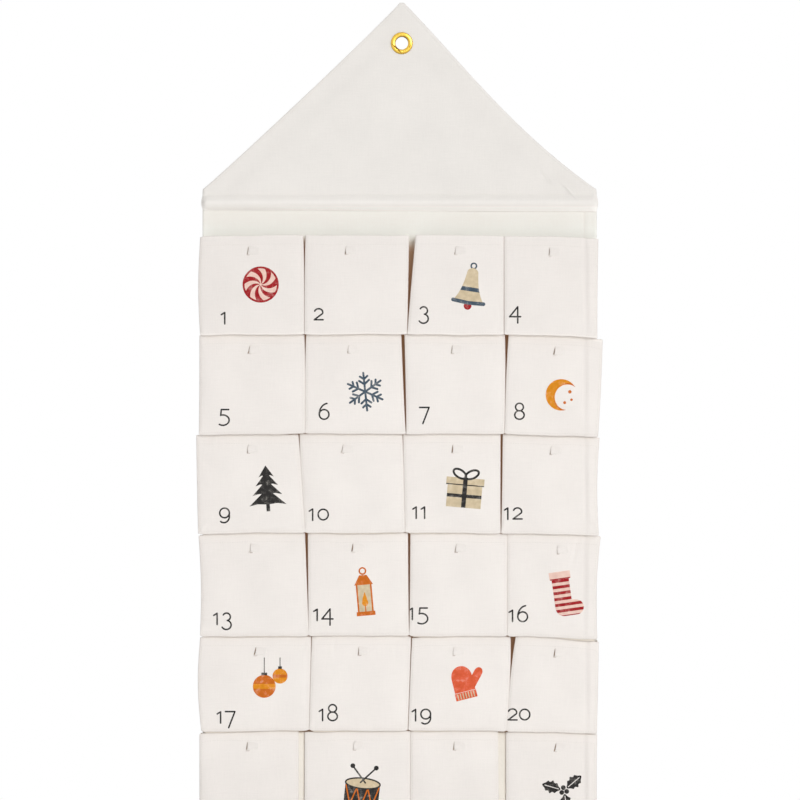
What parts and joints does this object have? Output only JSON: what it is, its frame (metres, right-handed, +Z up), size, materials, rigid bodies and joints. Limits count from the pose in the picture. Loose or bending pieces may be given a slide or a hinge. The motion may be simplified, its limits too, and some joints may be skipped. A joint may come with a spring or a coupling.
{
  "type": "hanging advent calendar",
  "caption": "House-shaped canvas calendar hung from a brass eyelet, with rows of gusseted pockets that open at the top.",
  "frame": {"origin": "centre of the hanging eyelet at the panel's back face, where the panel meets the wall", "axes": "+X to the viewer's right, +Y into the wall, +Z up; the front faces -Y"},
  "size_m": [0.5155, 0.032, 1.076],
  "materials": {
    "panel_canvas": "plain-weave cotton canvas, natural white",
    "gable_canvas": "plain-weave cotton canvas, natural white",
    "pocket_canvas": "plain-weave cotton canvas with printed numbers and motifs",
    "gusset_canvas": "plain-weave cotton canvas, natural white",
    "dowel_wood": "sanded beech",
    "eyelet_brass": "polished"
  },
  "bodies": {
    "panel": {"back_panel": "panel_canvas", "gable_facing": "gable_canvas", "hanging_dowel": "dowel_wood", "hanging_eyelet": "eyelet_brass", "eyelet_washer": "eyelet_brass", "pocket_gusset_01": "gusset_canvas", "pocket_gusset_02": "gusset_canvas", "pocket_gusset_03": "gusset_canvas", "pocket_gusset_04": "gusset_canvas", "pocket_gusset_05": "gusset_canvas", "pocket_gusset_06": "gusset_canvas", "pocket_gusset_07": "gusset_canvas", "pocket_gusset_08": "gusset_canvas", "pocket_gusset_09": "gusset_canvas", "pocket_gusset_10": "gusset_canvas", "pocket_gusset_11": "gusset_canvas", "pocket_gusset_12": "gusset_canvas", "pocket_gusset_13": "gusset_canvas", "pocket_gusset_14": "gusset_canvas", "pocket_gusset_15": "gusset_canvas", "pocket_gusset_16": "gusset_canvas", "pocket_gusset_17": "gusset_canvas", "pocket_gusset_18": "gusset_canvas", "pocket_gusset_19": "gusset_canvas", "pocket_gusset_20": "gusset_canvas", "pocket_gusset_21": "gusset_canvas", "pocket_gusset_22": "gusset_canvas", "pocket_gusset_23": "gusset_canvas", "pocket_gusset_24": "gusset_canvas"},
    "pocket_01": {"pocket_front_01": "pocket_canvas"},
    "pocket_02": {"pocket_front_02": "pocket_canvas"},
    "pocket_03": {"pocket_front_03": "pocket_canvas"},
    "pocket_04": {"pocket_front_04": "pocket_canvas"},
    "pocket_05": {"pocket_front_05": "pocket_canvas"},
    "pocket_06": {"pocket_front_06": "pocket_canvas"},
    "pocket_07": {"pocket_front_07": "pocket_canvas"},
    "pocket_08": {"pocket_front_08": "pocket_canvas"},
    "pocket_09": {"pocket_front_09": "pocket_canvas"},
    "pocket_10": {"pocket_front_10": "pocket_canvas"},
    "pocket_11": {"pocket_front_11": "pocket_canvas"},
    "pocket_12": {"pocket_front_12": "pocket_canvas"},
    "pocket_13": {"pocket_front_13": "pocket_canvas"},
    "pocket_14": {"pocket_front_14": "pocket_canvas"},
    "pocket_15": {"pocket_front_15": "pocket_canvas"},
    "pocket_16": {"pocket_front_16": "pocket_canvas"},
    "pocket_17": {"pocket_front_17": "pocket_canvas"},
    "pocket_18": {"pocket_front_18": "pocket_canvas"},
    "pocket_19": {"pocket_front_19": "pocket_canvas"},
    "pocket_20": {"pocket_front_20": "pocket_canvas"},
    "pocket_21": {"pocket_front_21": "pocket_canvas"},
    "pocket_22": {"pocket_front_22": "pocket_canvas"},
    "pocket_23": {"pocket_front_23": "pocket_canvas"},
    "pocket_24": {"pocket_front_24": "pocket_canvas"}
  },
  "joints": [
    {"name": "pocket_01_mouth", "type": "hinge", "parent": "panel", "child": "pocket_01", "pos_m": [-0.19008, -0.0264, -0.3699], "axis": [1, 0, 0], "range_deg": [-7, 6], "deforming": ["pocket_gusset_01"]},
    {"name": "pocket_02_mouth", "type": "hinge", "parent": "panel", "child": "pocket_02", "pos_m": [-0.05849, -0.0264, -0.36948], "axis": [1, 0, 0], "range_deg": [-7, 6], "deforming": ["pocket_gusset_02"]},
    {"name": "pocket_03_mouth", "type": "hinge", "parent": "panel", "child": "pocket_03", "pos_m": [0.06821, -0.0264, -0.36967], "axis": [1, 0, 0], "range_deg": [-7, 6], "deforming": ["pocket_gusset_03"]},
    {"name": "pocket_04_mouth", "type": "hinge", "parent": "panel", "child": "pocket_04", "pos_m": [0.18931, -0.0264, -0.37129], "axis": [1, 0, 0], "range_deg": [-7, 6], "deforming": ["pocket_gusset_04"]},
    {"name": "pocket_05_mouth", "type": "hinge", "parent": "panel", "child": "pocket_05", "pos_m": [-0.19046, -0.0264, -0.49633], "axis": [1, 0, 0], "range_deg": [-7, 6], "deforming": ["pocket_gusset_05"]},
    {"name": "pocket_06_mouth", "type": "hinge", "parent": "panel", "child": "pocket_06", "pos_m": [-0.0586, -0.0264, -0.49589], "axis": [1, 0, 0], "range_deg": [-7, 6], "deforming": ["pocket_gusset_06"]},
    {"name": "pocket_07_mouth", "type": "hinge", "parent": "panel", "child": "pocket_07", "pos_m": [0.0678, -0.0264, -0.49608], "axis": [1, 0, 0], "range_deg": [-7, 6], "deforming": ["pocket_gusset_07"]},
    {"name": "pocket_08_mouth", "type": "hinge", "parent": "panel", "child": "pocket_08", "pos_m": [0.18997, -0.0264, -0.49772], "axis": [1, 0, 0], "range_deg": [-7, 6], "deforming": ["pocket_gusset_08"]},
    {"name": "pocket_09_mouth", "type": "hinge", "parent": "panel", "child": "pocket_09", "pos_m": [-0.19083, -0.0264, -0.62199], "axis": [1, 0, 0], "range_deg": [-7, 6], "deforming": ["pocket_gusset_09"]},
    {"name": "pocket_10_mouth", "type": "hinge", "parent": "panel", "child": "pocket_10", "pos_m": [-0.05933, -0.0264, -0.62156], "axis": [1, 0, 0], "range_deg": [-7, 6], "deforming": ["pocket_gusset_10"]},
    {"name": "pocket_11_mouth", "type": "hinge", "parent": "panel", "child": "pocket_11", "pos_m": [0.06494, -0.0264, -0.62173], "axis": [1, 0, 0], "range_deg": [-7, 6], "deforming": ["pocket_gusset_11"]},
    {"name": "pocket_12_mouth", "type": "hinge", "parent": "panel", "child": "pocket_12", "pos_m": [0.18843, -0.0264, -0.62334], "axis": [1, 0, 0], "range_deg": [-7, 6], "deforming": ["pocket_gusset_12"]},
    {"name": "pocket_13_mouth", "type": "hinge", "parent": "panel", "child": "pocket_13", "pos_m": [-0.18733, -0.0264, -0.75292], "axis": [1, 0, 0], "range_deg": [-7, 6], "deforming": ["pocket_gusset_13"]},
    {"name": "pocket_14_mouth", "type": "hinge", "parent": "panel", "child": "pocket_14", "pos_m": [-0.05458, -0.0264, -0.75252], "axis": [1, 0, 0], "range_deg": [-7, 6], "deforming": ["pocket_gusset_14"]},
    {"name": "pocket_15_mouth", "type": "hinge", "parent": "panel", "child": "pocket_15", "pos_m": [0.07161, -0.0264, -0.75272], "axis": [1, 0, 0], "range_deg": [-7, 6], "deforming": ["pocket_gusset_15"]},
    {"name": "pocket_16_mouth", "type": "hinge", "parent": "panel", "child": "pocket_16", "pos_m": [0.19126, -0.0264, -0.75438], "axis": [1, 0, 0], "range_deg": [-7, 6], "deforming": ["pocket_gusset_16"]},
    {"name": "pocket_17_mouth", "type": "hinge", "parent": "panel", "child": "pocket_17", "pos_m": [-0.18633, -0.0264, -0.87327], "axis": [1, 0, 0], "range_deg": [-7, 6], "deforming": ["pocket_gusset_17"]},
    {"name": "pocket_18_mouth", "type": "hinge", "parent": "panel", "child": "pocket_18", "pos_m": [-0.05499, -0.0264, -0.87288], "axis": [1, 0, 0], "range_deg": [-7, 6], "deforming": ["pocket_gusset_18"]},
    {"name": "pocket_19_mouth", "type": "hinge", "parent": "panel", "child": "pocket_19", "pos_m": [0.0703, -0.0264, -0.87308], "axis": [1, 0, 0], "range_deg": [-7, 6], "deforming": ["pocket_gusset_19"]},
    {"name": "pocket_20_mouth", "type": "hinge", "parent": "panel", "child": "pocket_20", "pos_m": [0.19047, -0.0264, -0.87472], "axis": [1, 0, 0], "range_deg": [-7, 6], "deforming": ["pocket_gusset_20"]},
    {"name": "pocket_21_mouth", "type": "hinge", "parent": "panel", "child": "pocket_21", "pos_m": [-0.19394, -0.0264, -1.00128], "axis": [1, 0, 0], "range_deg": [-7, 6], "deforming": ["pocket_gusset_21"]},
    {"name": "pocket_22_mouth", "type": "hinge", "parent": "panel", "child": "pocket_22", "pos_m": [-0.05672, -0.0264, -1.00081], "axis": [1, 0, 0], "range_deg": [-7, 6], "deforming": ["pocket_gusset_22"]},
    {"name": "pocket_23_mouth", "type": "hinge", "parent": "panel", "child": "pocket_23", "pos_m": [0.06744, -0.0264, -1.001], "axis": [1, 0, 0], "range_deg": [-7, 6], "deforming": ["pocket_gusset_23"]},
    {"name": "pocket_24_mouth", "type": "hinge", "parent": "panel", "child": "pocket_24", "pos_m": [0.19043, -0.0264, -1.00266], "axis": [1, 0, 0], "range_deg": [-7, 6], "deforming": ["pocket_gusset_24"]}
  ]
}
